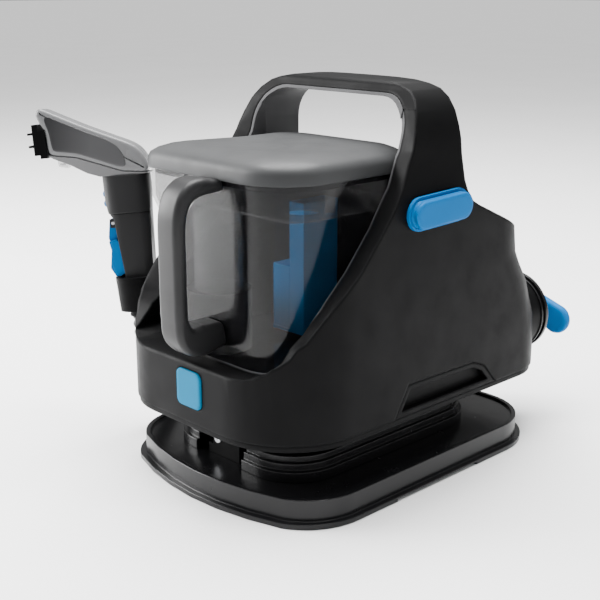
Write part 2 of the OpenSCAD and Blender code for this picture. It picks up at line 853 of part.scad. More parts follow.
module motor_shaft() color(steel) rod_z([motor_x, motor_y, fan_z + 3], shaft_r, motor_h - 4);

module motor_can() color(steel) difference() {
    union() {
        rod_z([motor_x, motor_y, fan_top], motor_r, motor_h - 8);
        rod_z([motor_x, motor_y, fan_top + motor_h - 8 - past], 14, 6 + past);
    }
    rod_z([motor_x, motor_y, fan_top - past], shaft_r + run, motor_h - fan_case_h + past + 6);
}

// ---- clean water ----

clean_z = 146;
clean_x = -12;
clean_hw = housing_w / 2 - 14;
clean_back = housing_rear - 54.5;
clean_r = 26;
clean_legs = [[75, 58], [75, 118], [-5, 45]];

clean_top = 236;

module clean_form(in) {
    intersection() {
        along_x(clean_x + in, clean_hw) offset(delta = -8 - in) polygon(side_view(0));
        translate([-far, bay_rear + liner_t + in, clean_z + in])
            cube([2 * far, far, clean_top - clean_z - 2 * in]);
        prism(plan(clean_hw - in, 0, clean_back - in, 1, clean_r - in), 0, far);
    }
}

module clean_tank() color(clear_smoke) difference() {
    union() {
        clean_form(0);
        on_deck() translate([0, 0, -14]) cylinder(r = cap_r - 3, h = 13);
        for (s = clean_legs) rod_z([s[0], s[1], pan_floor], 5, clean_z - pan_floor + past);
    }
    clean_form(2);
    on_deck() translate([0, 0, -30]) cylinder(r = cap_r - 5, h = 60);
    rod_z([60, 70, 0], 3.5, clean_z + 10);
}

lift_off = 0.1;

module filler_cap() color(black) on_deck() difference() {
    union() {
        translate([0, 0, lift_off]) cylinder(r = cap_r + 2, h = 3);
        translate([0, 0, -1]) cylinder(r = cap_r - 0.5, h = 1.2);
        translate([-cap_r + 4, -2, 2.99]) cube([2 * cap_r - 8, 4, 3]);
    }
    translate([0, 0, -2]) cylinder(r = 6, h = 3);
}

port_in = -housing_w / 2 + wall + 2;
port_end = -housing_w / 2 - 12;
pump_x = 55;
pump_y = -60;

module water_pump() color(black) {
    translate([pump_x - 22, pump_y - 20, pan_floor]) cube([44, 40, 28]);
    rod_y([pump_x, pump_y + 20 - 0.01, pan_floor + 15], 6, 12);
    rod_x([pump_x - 34, pump_y, pan_floor + 15], 5, 12.01);
}

module water_tube() color(clear_smoke) {
    supply = [[60, 70, clean_z + 1], [60, 70, 88], [58, 30, 80], [pump_x, -10, pan_floor + 15],
        [pump_x, pump_y + 32, pan_floor + 15]];
    feed = [[pump_x - 34, pump_y, pan_floor + 15], [-20, pump_y, pan_floor + 15], [-88, 20, 68], [-90, 60, 68],
        [-92, port_y, 70], [port_in, port_y, 74]];
    bent_tube(supply, 3, 1.8, 8);
    bent_tube(feed, 3, 1.8, 8);
}

module recovery_tube() color(black) {
    points = [[port_in, port_y, port_z], [-95, port_y, port_z + 1], [-95, 106, 99], [-98, 80, 101],
        [-98, 30, 101], [-84, 0, 88], [inlet_x, inlet_y + 40, 90], [inlet_x, inlet_y, 90],
        [inlet_x, inlet_y, shelf_z - liner_t]];
    bent_tube(points, 8, 6.5, 9);
}

module control_board() color([0.05, 0.3, 0.15]) {
    translate([-22, -30, pan_floor + 6]) cube([46, 60, 1.6]);
    for (x = [-18, 20], y = [-26, 26]) rod_z([x, y, pan_floor], 2.5, 6);
    translate([-16, -20, pan_floor + 7.6]) cube([20, 24, 9]);
    rod_z([13, 12, pan_floor + 7.6], 5, 10);
}

module mains_inlet() color(black) difference() {
    union() {
        rod_y([gland_x, housing_rear - 22, gland_z], 7, 24);
        rod_y([gland_x, housing_rear, gland_z], 9, 4);
    }
    rod_y([gland_x, 0, gland_z], 3.5, far);
}

module cord_hub() color(black) difference() {
    union() {
        rod_y([hub_x, boss_y, hub_z], hub_r - 1, 2);
        rod_y([hub_x, boss_y, hub_z], hub_r - 4, hub_d);
        rod_y([hub_x, boss_y + hub_d - 5, hub_z], hub_r, 3.5);
        rod_y([hub_x, boss_y + hub_d - past, hub_z], 14, 8 + past);
    }
    rod_y([hub_x, 0, hub_z], 4 + run, far);
}

hook_y = boss_y + hub_d + 8;
blade_y = hook_y + 20;
blade_t = 10;
// Centre of the blade's round end, from the hub's axis
blade_x = 25;
blade_drop = 12;

module cord_hook() color(blue) {
    rod_y([hub_x, boss_y - wall + 1, hub_z], 4, blade_y - boss_y + wall);
    rod_y([hub_x, hook_y + fit, hub_z], 9, blade_y - hook_y - fit + past);
    along_y(blade_y, blade_y + blade_t) translate([hub_x, hub_z]) polygon(concat(
        arc(blade_x, -blade_drop, hook_h / 2, -115, 60, 12), arc(0, 0, 11, 60, 245, 8)
    ));
}

// ---- hand tool, drawn upright: x forward along the nozzle, z up the grip ----

tool_foot = [-147, -100, 129];
neck_z = 79;
grip_top = 113;

module tool_place() {
    translate(tool_foot) rotate([0, -tool_lean, 0]) rotate([0, 0, 180 + tool_heading]) children();
}

// Extrudes an (x, z) outline of the tool over its width.
module tool_side(w) {
    rotate([90, 0, 0]) translate([0, 0, -w / 2]) linear_extrude(w) children();
}

module grip_section(in = 0) {
    polygon(concat(
        arc(8 - in, grip_w / 2 - 12, 12, 0, 90, 5), arc(-8 + in, grip_w / 2 - 12, 12 - in, 90, 180, 5),
        arc(-8 + in, 12 - grip_w / 2, 12 - in, 180, 270, 5), arc(8 - in, 12 - grip_w / 2, 12, 270, 360, 5)
    ));
}

module grip_handle() color(grey) tool_place() difference() {
    union() {
        intersection() {
            tool_side(2 * grip_w) polygon([[-15, 0], [14, 0], [14, 17], [10, 19], [10, 24], [15, 74],
                [19, neck_z], [-18, neck_z], [-16, 40]]);
            linear_extrude(neck_z) grip_section();
        }
        for (y = [-9.5, 7.3]) translate([8, y, 66]) cube([11.5, 2.2, 8]);
    }
    translate([trigger_at[0], 20, trigger_at[1]]) rotate([90, 0, 0]) cylinder(r = 1.5, h = 40);
    translate([0, 0, -past]) cylinder(r = grip_bore_r, h = neck_z + 2 * past);
    translate([grip_bore_r + 2.4, -7.3, 18]) cube([20, 14.6, 57]);
    translate([grip_bore_r + 2.4, -12.3, 18]) cube([20, 24.6, 40]);
    for (y = [-12.3, 9.6]) translate([1.6, y, 18]) cube([20, 2.7, 40]);
}

module grip_neck() color(grey) tool_place() difference() {
    intersection() {
        tool_side(2 * grip_w) polygon([[-18, neck_z], [19, neck_z], [22, 92], [22, grip_top], [-21, grip_top]]);
        linear_extrude(grip_top + past) translate([1, 0]) scale(1.06) grip_section();
    }
    cylinder(r = grip_bore_r, h = grip_top + past);
    translate([15.2, -6.3, 84]) cube([20, 12.6, 16.6]);
}

module nozzle_plan(in) {
    hw = grip_w / 2 - in;
    mw = mouth_w / 2 - in;
    polygon([[-24 + in, -hw], [10, -hw], [mouth_x - 22, -mw], [mouth_x + 5, -mw],
        [mouth_x + 5, mw], [mouth_x - 22, mw], [10, hw], [-24 + in, hw]]);
}

// The line where the clear window meets the grey nozzle body.
seam = [[-24, grip_top], [2, grip_top + 3], [mouth_x - 28, 131], [mouth_x - 4, 135]];

module nozzle_window() color(clear_smoke) tool_place() difference() {
    intersection() {
        tool_side(2 * mouth_w) polygon(concat(seam, [[mouth_x - 3, 158], [mouth_x + 1, 163.5],
            [mouth_x + 4, 166.5], [mouth_x + 4, 174], [mouth_x + 1.5, 178], [34, 159.3], [15, 150.5],
            [-7, 140.6], [-15.5, 134.5], [-20, 125.5], [-21.5, 117]]));
        translate([0, 0, grip_top]) linear_extrude(80) nozzle_plan(0);
    }
    intersection() {
        tool_side(2 * mouth_w) polygon([[-24, grip_top - past], [2, grip_top + 2], [mouth_x - 28, 131 - past],
            [mouth_x + 5, 134], [mouth_x + 5, 176], [34, 156], [15, 147], [-7, 137], [-13, 131.5],
            [-17, 124.5], [-18.5, 117]]);
        translate([0, 0, grip_top - past]) linear_extrude(80) nozzle_plan(tool_wall);
    }
}

module nozzle_body() color(grey) tool_place() difference() {
    intersection() {
        tool_side(2 * mouth_w) polygon([[-22, grip_top], [22, grip_top], [33, 117], [mouth_x - 22, 125.5],
            [mouth_x - 8, 132], [mouth_x - 4, 135], [mouth_x - 28, 131], [2, grip_top + 3]]);
        translate([0, 0, grip_top]) linear_extrude(80) nozzle_plan(0);
    }
    cylinder(r = grip_bore_r, h = 200);
}

module brush_block() color(black) tool_place() {
    difference() {
        translate([mouth_x - 3, -mouth_w / 2, 133]) cube([6, mouth_w, 25]);
        translate([mouth_x - 12, -mouth_w / 2 + 4, 147]) cube([30, mouth_w - 8, 5]);
    }
    translate([mouth_x + 2.99, -mouth_w / 2, 136]) cube([5, mouth_w, 27]);
}

module bristles() color(black) tool_place() for (i = [0:9]) for (k = [0:1])
    translate([mouth_x + 8, (mouth_w - 8) * (i / 9 - 0.5), 144 + 11 * k])
        rotate([0, 90, 0]) cylinder(r = 1, h = 4.98);

module spray_tip() color(clear_smoke) tool_place() difference() {
    tool_side(14) polygon([[mouth_x - 18, 122.5], [mouth_x - 10, 124.5], [mouth_x - 9, 131.5],
        [mouth_x - 18, 127.3]]);
    translate([mouth_x - 15, 0, 126]) rotate([0, 90, 0]) cylinder(r = 0.9, h = 10);
}

trigger_at = [17, 70];

// A narrow blade with a wider pad below, whose two cheeks run back past the suction way.
module trigger() color(blue) tool_place() difference() {
    union() {
        tool_side(14) polygon([[15.2, 73], [20, 73], [22.5, 57], [20.5, 46], [23, 30], [19, 22.5], [15.4, 22],
            [14.6, 40]]);
        difference() {
            tool_side(24) polygon([[22, 54], [20.5, 46], [23, 30], [19, 22.5], [15.4, 22], [7, 26], [9.6, 50],
                [15, 55]]);
            translate([15 - far, -9.8, 0]) cube([far, 19.6, far]);
        }
    }
    translate([trigger_at[0], 10, trigger_at[1]]) rotate([90, 0, 0]) cylinder(r = 1.5 + run, h = 20);
}

module trigger_pin() color(steel) tool_place()
    translate([trigger_at[0], 9, trigger_at[1]]) rotate([90, 0, 0]) cylinder(r = 1.5, h = 18);

module lock_button() color(blue) tool_place() translate([18, -6, 84.3]) cube([5.5, 12, 16]);

module hose_cuff() color(black) tool_place() difference() {
    union() {
        translate([0, 0, -17]) cylinder(r = 12, h = 17);
        translate([0, 0, -3]) cylinder(r = 14, h = 3);
    }
    translate([0, 0, -17 - past]) cylinder(r = hose_bore / 2, h = 17 + 2 * past);
}

// The space in the holster's cup for the foot of the grip.
module grip_space() {
    intersection() {
        translate([0, 0, -3.4]) linear_extrude(60) offset(delta = 0.5) grip_section();
        translate([-16.5, -40, -10]) cube([32, 80, 80]);
    }
}

module tool_holster() color(black) difference() {
    union() {
        tool_place() difference() {
            translate([-0.5, 0, -10]) linear_extrude(31, scale = 1.08) rounded(38.5, 47, 16);
            translate([0, 0, -11]) cylinder(r = 12.6, h = 40);
            grip_space();
            translate([-60, -10.5, -20]) cube([60, 21, 60]);
        }
        translate([-136, -112, 104]) cube([30, 24, 26]);
    }
    prism(housing_plan(), housing_z, arch_top);
    tool_place() grip_space();
    tool_place() translate([0, 0, -30]) cylinder(r = 12.6, h = 60);
}

// ---- hose ----

hose_r = hose_d / 2;
rib_depth = 1.4;
// Route from the hand tool's cuff down to the floor and back to the loop
riser_route = [[-144.9, -100, 111.3], [-142.5, -100, 92], [-141, -92, 60], [-142, -74, 33], [-145, -48, 16],
    [-149, -15, 11], [-153, 20, 10.5], [-155, 60, 10.5], [-155, 100, 10.5], [-155, 145, 10.5], [-155, 190, 10.5],
    [-155, 239.7, 10.5]];
loop_centre = [-155 - loop_r, 240, 10.5];
// Route from the loop up to the port
tail_route = [[-274.7, 120, 10.5], [-256, 120, 10.5], [-238, 120, 17], [-221, 120, 31], [-205, 120, 48],
    [-188, 120, 65], [-167, 120, 79], [-146, 120, 85], [-124.3, 120, 85]];

// A smooth curve through hand-placed points.
function curve_point(p, i, t) =
    let (
        a = p[max(i - 1, 0)], b = p[i], c = p[i + 1], d = p[min(i + 2, len(p) - 1)]
    )
    0.5 * (2 * b + (c - a) * t + (2 * a - 5 * b + 4 * c - d) * t * t + (3 * b - a - 3 * c + d) * t * t * t);
function curve(p, n) =
    concat([for (i = [0:len(p) - 2]) for (k = [0:n - 1]) curve_point(p, i, k / n)], [p[len(p) - 1]]);
function lengths(p, i = 0, sum = 0) =
    i >= len(p) - 1 ? [sum] : concat([sum], lengths(p, i + 1, sum + norm(p[i + 1] - p[i])));
// Points a step apart along a polyline
function at_length(p, s, l, i = 0) =
    i >= len(p) - 2 || l <= s[i + 1] ? p[i] + (p[i + 1] - p[i]) * ((l - s[i]) / (s[i + 1] - s[i]))
        : at_length(p, s, l, i + 1);
function even(p, n) = let (s = lengths(p)) [for (k = [0:n]) at_length(p, s, s[len(s) - 1] * k / n)];
function unit(v) = v / norm(v);
function heading(p, i) = unit(p[min(i + 1, len(p) - 1)] - p[max(i - 1, 0)]);
// Frames that turn with the path and never twist
function frames(p, i = 0, u = [1, 0.02, 0.01]) =
    let (t = heading(p, i), v = unit(u - t * (u * t)))
    i >= len(p) - 1 ? [v] : concat([v], frames(p, i + 1, v));
function ring_at(c, t, u, r, sides) =
    let (w = cross(t, u))
    [for (k = [0:sides - 1]) c + r * (cos(360 * k / sides) * u + sin(360 * k / sides) * w)];

module sweep(p, r, sides) {
    f = frames(p);
    loft([for (i = [0:len(p) - 1]) ring_at(p[i], heading(p, i), f[i], r, sides)]);
}

// A hollow sweep along points: one outer radius a point, and a bore ring at every so many points.
module hollow(p, start, radii, bore_r, every, sides) {
    f = frames(p, 0, start);
    n = len(p);
    outer = [for (i = [0:n - 1]) ring_at(p[i], heading(p, i), f[i], radii[i], sides)];
    inner = [for (i = [0:every:n - 1]) ring_at(p[i], heading(p, i), f[i], bore_r, sides)];
    m = len(inner);
    s = sides;
    last = sides - 1;
    points = concat([for (ring = outer) for (q = ring) q], [for (ring = inner) for (q = ring) q]);
    function outside(k, i) = s * k + i % s;
    function inside(k, i) = s * (n + k) + i % s;
    faces = concat(
        [for (k = [0:n - 2]) for (i = [0:last]) [outside(k, i), outside(k + 1, i + 1), outside(k, i + 1)]],
        [for (k = [0:n - 2]) for (i = [0:last]) [outside(k, i), outside(k + 1, i), outside(k + 1, i + 1)]],
        [for (k = [0:m - 2]) for (i = [0:last]) [inside(k, i), inside(k, i + 1), inside(k + 1, i + 1)]],
        [for (k = [0:m - 2]) for (i = [0:last]) [inside(k, i), inside(k + 1, i + 1), inside(k + 1, i)]],
        [for (i = [0:last]) [outside(0, i), outside(0, i + 1), inside(0, i + 1)]],
        [for (i = [0:last]) [outside(0, i), inside(0, i + 1), inside(0, i)]],
        [for (i = [0:last]) [outside(n - 1, i), inside(m - 1, i + 1), outside(n - 1, i + 1)]],
        [for (i = [0:last]) [outside(n - 1, i), inside(m - 1, i), inside(m - 1, i + 1)]]
    );
    polyhedron(points, faces, convexity = 10);
}

// A ribbed hose along evenly spaced points: the rings swell and shrink in turn.
module ribbed(p, start) {
    hollow(p, start, [for (i = [0:len(p) - 1]) i % 2 == 0 ? hose_r : hose_r - rib_depth], hose_bore / 2, 2, 8);
}

function total(p) = let (s = lengths(p)) s[len(s) - 1];
function ribs(p) = 2 * round(total(p) / rib_pitch);

module hose_stretch(route) {
    fine = curve(route, 8);
    p = even(fine, ribs(fine));
    ribbed(p, [1, 0.02, 0.01]);
}

module hose_riser() color(black) hose_stretch(riser_route);
module hose_tail() color(black) hose_stretch(tail_route);
module hose_loop() color(black) {
    n = 2 * round(PI * loop_r * 1.5 / rib_pitch);
    ribbed([for (i = [0:n]) loop_centre + loop_r * [cos(270 * i / n), sin(270 * i / n), 0]], [1, 0.02, 0.01]);
}

module hose_port() color(black) difference() {
    union() {
        rod_x([port_end, port_y, port_z], hose_r + 3, port_in - port_end);
        rod_x([-housing_w / 2 - 3, port_y, port_z], hose_r + 7, 3);
    }
    rod_x([port_end - past, port_y, port_z], hose_bore / 2, 40);
}

base_tray();
base_plate();
base_pads();
case_screws();
waist_collar();
waist_column();
collar_bracket();
belly_pan();
housing_shell();
bay_liner();
side_panel_right();
side_panel_left();
exhaust_grille();
release_button();
release_spring();
tank_latch();
latch_pin();
power_bezel();
power_button();
power_switch();
tank_bowl();
tank_handle();
inlet_filter();
standpipe();
tank_lid();
lid_seal();
splash_baffle();
float_guide();
float();
port_seal();
suction_duct();
fan_housing();
fan_impeller();
motor_shaft();
motor_can();
clean_tank();
filler_cap();
water_pump();
water_tube();
recovery_tube();
control_board();
mains_inlet();
cord_hub();
cord_hook();
tool_holster();
nozzle_window();
nozzle_body();
brush_block();
bristles();
spray_tip();
grip_neck();
grip_handle();
trigger();
trigger_pin();
lock_button();
hose_cuff();
hose_port();
hose_riser();
hose_loop();
hose_tail();
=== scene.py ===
# %% [markdown]
# # A spot extractor
# A compact machine that washes carpets and seats: clean water goes out through a hose to a hand
# tool, and dirty water comes back into a clear tank at the front. The solids are loaded first and
# stay where they are. Everything after that gives them their finish, and builds the softer forms.

# %% Load the frame
import bpy
import math
import numpy as np
from mathutils import Matrix, Vector


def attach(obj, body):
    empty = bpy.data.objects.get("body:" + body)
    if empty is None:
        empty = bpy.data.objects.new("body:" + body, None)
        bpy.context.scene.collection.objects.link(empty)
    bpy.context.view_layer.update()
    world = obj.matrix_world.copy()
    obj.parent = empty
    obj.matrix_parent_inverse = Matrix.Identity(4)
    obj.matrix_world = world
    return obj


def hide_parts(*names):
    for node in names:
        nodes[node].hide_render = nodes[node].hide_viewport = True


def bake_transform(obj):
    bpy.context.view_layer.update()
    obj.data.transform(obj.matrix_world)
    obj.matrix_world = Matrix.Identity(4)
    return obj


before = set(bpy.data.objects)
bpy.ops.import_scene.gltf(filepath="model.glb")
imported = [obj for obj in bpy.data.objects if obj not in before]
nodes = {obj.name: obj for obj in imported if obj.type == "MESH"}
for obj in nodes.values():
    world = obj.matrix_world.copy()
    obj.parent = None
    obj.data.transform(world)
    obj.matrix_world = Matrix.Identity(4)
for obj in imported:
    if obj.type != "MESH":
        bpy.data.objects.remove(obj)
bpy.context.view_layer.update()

# %% [markdown]
# ## The camera
# The machine is seen from its front right, a little from above. A lens of 65 mm on a 36 mm sensor
# keeps the near corner of the base from swelling, as a product photographer would.

# %% Camera
lens = bpy.data.cameras.new("camera")
lens.lens = 65.14
lens.sensor_width = 36
camera = bpy.data.objects.new("camera", lens)
camera.location = (0.64844, -0.66098, 0.400)
camera.rotation_euler = (math.radians(74.065), 0, math.radians(46.185))
bpy.context.scene.collection.objects.link(camera)
bpy.context.scene.camera = camera
print("camera at", tuple(camera.location))

# %% [markdown]
# ## Helpers for meshes
# Most of these pieces are rings of points joined by faces. One helper joins the rings, one makes
# an object of them and fastens it to the body that carries it.

# %% Rings into a mesh
def join_rings(rings, close=True, caps=True):
    """Vertices and faces of a skin over rings of equally many points."""
    count = len(rings[0])
    verts = [tuple(p) for ring in rings for p in ring]
    faces = []
    spans = count if close else count - 1
    for k in range(len(rings) - 1):
        for i in range(spans):
            j = (i + 1) % count
            faces.append((k * count + i, k * count + j, (k + 1) * count + j, (k + 1) * count + i))
    if caps:
        faces.append(tuple(range(count - 1, -1, -1)))
        faces.append(tuple(range((len(rings) - 1) * count, len(rings) * count)))
    return verts, faces


def piece(name, verts, faces, body=None, finish=None, slot=None, smooth=True):
    mesh = bpy.data.meshes.new(name)
    mesh.from_pydata(verts, [], faces)
    mesh.validate()
    mesh.update()
    for face in mesh.polygons:
        face.use_smooth = smooth
    thing = bpy.data.objects.new(name, mesh)
    bpy.context.scene.collection.objects.link(thing)
    if finish:
        mesh.materials.append(finish)
    if body:
        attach(thing, body)
    return thing

# %% [markdown]
# ## The line of the hose
# The hose is about 1.15 m long and 20 mm thick. It leaves the machine's left side low at the rear,
# falls to the floor, makes one round turn there and comes forward along the machine to the cuff of
# the hand tool. Only a smooth line through a few chosen points gives a hose's lazy bends, so the
# points are listed and a spline runs through them.

# %% Hose route
TO_TOOL = [(-.1449, -.100, .1113), (-.1425, -.100, .092), (-.141, -.092, .060), (-.142, -.074, .033),
           (-.145, -.048, .016), (-.149, -.015, .011), (-.153, .020, .0105), (-.155, .060, .0105),
           (-.155, .100, .0105), (-.155, .145, .0105), (-.155, .190, .0105), (-.155, .2397, .0105)]
TO_PORT = [(-.2747, .120, .0105), (-.256, .120, .0105), (-.238, .120, .017), (-.221, .120, .031),
           (-.205, .120, .048), (-.188, .120, .065), (-.167, .120, .079), (-.146, .120, .085),
           (-.1243, .120, .085)]
LOOP_R = .120
LOOP_AT = np.array((-.275, .240, .0105))


def spline(points, steps=8):
    p = [np.array(q, float) for q in points]
    out = []
    for i in range(len(p) - 1):
        a, b, c, d = p[max(i - 1, 0)], p[i], p[i + 1], p[min(i + 2, len(p) - 1)]
        for k in range(steps):
            t = k / steps
            out.append(.5 * (2 * b + (c - a) * t + (2 * a - 5 * b + 4 * c - d) * t * t
                             + (3 * b - a - 3 * c + d) * t ** 3))
    return out + [p[-1]]


def even(points, step):
    p = np.array(points)
    along = np.concatenate([[0], np.cumsum(np.linalg.norm(np.diff(p, axis=0), axis=1))])
    count = int(round(along[-1] / step))
    marks = np.linspace(0, along[-1], count + 1)
    return np.stack([np.interp(marks, along, p[:, k]) for k in range(3)], axis=1), along[-1]


turn = [LOOP_AT + LOOP_R * np.array((math.cos(a), math.sin(a), 0))
        for a in np.radians(np.linspace(0, 270, 120))]
route = spline(TO_TOOL) + turn[1:] + spline(TO_PORT)[1:]
RING_STEP = .00125
hose_line, hose_length = even(route[::-1], RING_STEP)
print("hose length in metres:", round(hose_length, 3))

# %% [markdown]
# ## The ribbed hose
# A real one is a soft tube with a helix of wire moulded into it, so its skin rises over each turn.
# A stack of rings whose radius swells and shrinks does the same and keeps true to the route.

# %% Hose
RIB = .0075
VALLEY_R = .00855
RIB_HEIGHT = .00140


def frames_along(line, start=(1, .02, .01)):
    tangent = np.gradient(line, axis=0)
    tangent /= np.linalg.norm(tangent, axis=1)[:, None]
    side = np.array(start, float)
    sides = []
    for t in tangent:
        side = side - t * side.dot(t)
        side /= np.linalg.norm(side)
        sides.append(side.copy())
    sides = np.array(sides)
    return sides, np.cross(tangent, sides)


def sweep(line, radii, count):
    u, w = frames_along(line)
    angles = np.linspace(0, 2 * math.pi, count, endpoint=False)
    return [[c + r * (math.cos(a) * x + math.sin(a) * y) for a in angles]
            for c, r, x, y in zip(line, radii, u, w)]


along = np.linspace(0, hose_length, len(hose_line))
swell = .5 + .5 * np.cos(2 * math.pi * along / (hose_length / round(hose_length / RIB)))
hose_radii = VALLEY_R + RIB_HEIGHT * swell ** .7
hose = piece("hose", *join_rings(sweep(hose_line, hose_radii, 20)), slot="hose")
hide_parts("hose_riser", "hose_loop", "hose_tail")
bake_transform(hose)
print("hose ribs:", round(hose_length / RIB), "rings:", len(hose_line))

# %% [markdown]
# ## Finishes
# Moulded plastic is never one flat colour. It has a fine spark-eroded grain, slightly uneven gloss
# where it has been handled, and paler rubbed edges. Each finish here is a principled shader whose
# colour and roughness drift with a slow noise, with a much finer noise as bump.

# %% A moulded finish
def new_material(name):
    material = bpy.data.materials.new(name)
    material.use_nodes = True
    tree = material.node_tree
    return material, tree, tree.nodes["Principled BSDF"]


def place(tree, scale=1.0):
    coordinates = tree.nodes.new("ShaderNodeTexCoord")
    mapping = tree.nodes.new("ShaderNodeMapping")
    mapping.inputs["Scale"].default_value = (scale, scale, scale)
    tree.links.new(coordinates.outputs["Object"], mapping.inputs["Vector"])
    return mapping.outputs["Vector"]


def noise(tree, vector, scale, detail=3.0, roughness=.5):
    node = tree.nodes.new("ShaderNodeTexNoise")
    node.inputs["Scale"].default_value = scale
    node.inputs["Detail"].default_value = detail
    node.inputs["Roughness"].default_value = roughness
    tree.links.new(vector, node.inputs["Vector"])
    return node.outputs["Fac"]


def ramp(tree, value, low, high, start=.35, end=.65):
    node = tree.nodes.new("ShaderNodeValToRGB")
    node.color_ramp.elements[0].position = start
    node.color_ramp.elements[1].position = end
    node.color_ramp.elements[0].color = (*low, 1)
    node.color_ramp.elements[1].color = (*high, 1)
    tree.links.new(value, node.inputs["Fac"])
    return node.outputs["Color"]


def spread(tree, value, low, high):
    node = tree.nodes.new("ShaderNodeMapRange")
    node.inputs["From Min"].default_value = .3
    node.inputs["From Max"].default_value = .7
    node.inputs["To Min"].default_value = low
    node.inputs["To Max"].default_value = high
    tree.links.new(value, node.inputs["Value"])
    return node.outputs["Result"]


def rubbed_edges(tree, colour, radius, paler):
    """Mixes a paler tone in where a wide bevel turns the surface away from its true direction."""
    wide = tree.nodes.new("ShaderNodeBevel")
    wide.samples = 4
    wide.inputs["Radius"].default_value = radius
    true_way = tree.nodes.new("ShaderNodeNewGeometry")
    dot = tree.nodes.new("ShaderNodeVectorMath")
    dot.operation = "DOT_PRODUCT"
    tree.links.new(wide.outputs["Normal"], dot.inputs[0])
    tree.links.new(true_way.outputs["Normal"], dot.inputs[1])
    turned = tree.nodes.new("ShaderNodeMapRange")
    turned.inputs["From Min"].default_value = .985
    turned.inputs["From Max"].default_value = .80
    turned.inputs["To Max"].default_value = .8
    tree.links.new(dot.outputs["Value"], turned.inputs["Value"])
    mix = tree.nodes.new("ShaderNodeMix")
    mix.data_type = "RGBA"
    mix.inputs["B"].default_value = (*paler, 1)
    tree.links.new(turned.outputs["Result"], mix.inputs["Factor"])
    tree.links.new(colour, mix.inputs["A"])
    return mix.outputs["Result"]


def moulded(name, colour, rough, grain=1400, depth=.00003, edge=.0008, drift=.12, spec=.3, rub=1.7):
    material, tree, shader = new_material(name)
    where = place(tree)
    slow = noise(tree, where, 14, 4)
    low = [c * (1 - drift) for c in colour]
    high = [min(1, c * (1 + drift)) for c in colour]
    tone = ramp(tree, slow, low, high)
    if edge:
        tone = rubbed_edges(tree, tone, edge * .8, [min(1, c * rub) for c in colour])
    tree.links.new(tone, shader.inputs["Base Color"])
    tree.links.new(spread(tree, noise(tree, where, 45, 5, .6), rough * .85, min(1, rough * 1.18)),
                   shader.inputs["Roughness"])
    shader.inputs["Specular IOR Level"].default_value = spec
    bump = tree.nodes.new("ShaderNodeBump")
    bump.inputs["Strength"].default_value = .6
    bump.inputs["Distance"].default_value = depth
    tree.links.new(noise(tree, where, grain, 2), bump.inputs["Height"])
    if edge:
        bevel = tree.nodes.new("ShaderNodeBevel")
        bevel.samples = 6
        bevel.inputs["Radius"].default_value = edge
        tree.links.new(bevel.outputs["Normal"], bump.inputs["Normal"])
    tree.links.new(bump.outputs["Normal"], shader.inputs["Normal"])
    return material

# %% [markdown]
# ## The palette
# A charcoal body with a fine grain, glossy black below, a cool blue for whatever the hand presses,
# and greys that tell the lid, the tank's handle, the nozzle and the grip apart. The tank is smoked
# and clear. Its bay is charcoal like the body, but is painted a paler grey as painted light, standing in
# for the light that the shaded bay lacks, so that it shows through the tank.

# %% Palette
charcoal = moulded("charcoal_body", (.0026, .0026, .0028), .46, depth=.00004, edge=.0035, spec=.055, rub=2.2)
# painted light: the bay liner is the body's charcoal made paler, standing in for light inside the shaded bay
painted_light_liner = moulded("painted_light_liner", (.045, .045, .047), .5, depth=.00004, edge=.001, spec=.15)
gloss_black = moulded("gloss_black", (.0042, .0042, .0047), .24, grain=500, depth=.00001, edge=.0015,
                      spec=.26)
soft_black = moulded("soft_black", (.0014, .0014, .0016), .5, spec=.05)
KEY_FACE = dict(grain=900, depth=.00001, edge=.0010, drift=.05, rub=1.2)
key_blue = moulded("key_blue", (0, .115, .330), .38, spec=.05, **KEY_FACE)
key_cyan = moulded("key_cyan", (0, .120, .230), .40, spec=.04, **KEY_FACE)
guide_blue = moulded("guide_blue", (0, .360, .900), .36, grain=900, depth=.00001, drift=.05, spec=.10,
                     rub=1.1)
lid_grey = moulded("lid_grey", (.037, .038, .039), .46, depth=.00002, edge=.002, spec=.18, rub=1.15)
bar_grey = moulded("bar_grey", (.012, .012, .0126), .42, depth=.00003, edge=.0015, spec=.2, rub=1.6)
tool_grey = moulded("tool_grey", (.140, .140, .143), .40, depth=.00003, edge=.0012, rub=1.15)
rim_grey = moulded("rim_grey", (.145, .146, .149), .26, depth=.00002, edge=.0008, rub=1.3)
grip_grey = moulded("grip_grey", (.0125, .0125, .013), .46, grain=1900, depth=.00005, edge=.002, spec=.15)
rubber = moulded("rubber_black", (.003, .003, .0033), .62, grain=2200, depth=.00004, spec=.12)
hose_skin = moulded("hose_skin", (.005, .005, .0055), .42, grain=1800, edge=0, spec=.25)
green_board = moulded("circuit_green", (.012, .12, .05), .4)


def smoked(name, tint, alpha, rough=.07):
    material, tree, shader = new_material(name)
    where = place(tree)
    slow = noise(tree, where, 9, 3)
    tree.links.new(ramp(tree, slow, [c * .9 for c in tint], [c * 1.1 for c in tint]),
                   shader.inputs["Base Color"])
    tree.links.new(spread(tree, noise(tree, where, 30, 4), rough * .8, rough * 1.5),
                   shader.inputs["Roughness"])
    shader.inputs["Alpha"].default_value = alpha
    shader.inputs["Specular IOR Level"].default_value = .4
    bump = tree.nodes.new("ShaderNodeBump")
    bump.inputs["Strength"].default_value = .3
    bump.inputs["Distance"].default_value = .0002
    tree.links.new(noise(tree, where, 12, 2), bump.inputs["Height"])
    tree.links.new(bump.outputs["Normal"], shader.inputs["Normal"])
    return material


smoke = smoked("smoked_clear", (.008, .008, .009), .34)
pale_smoke = smoked("pale_clear", (.24, .245, .25), .30)


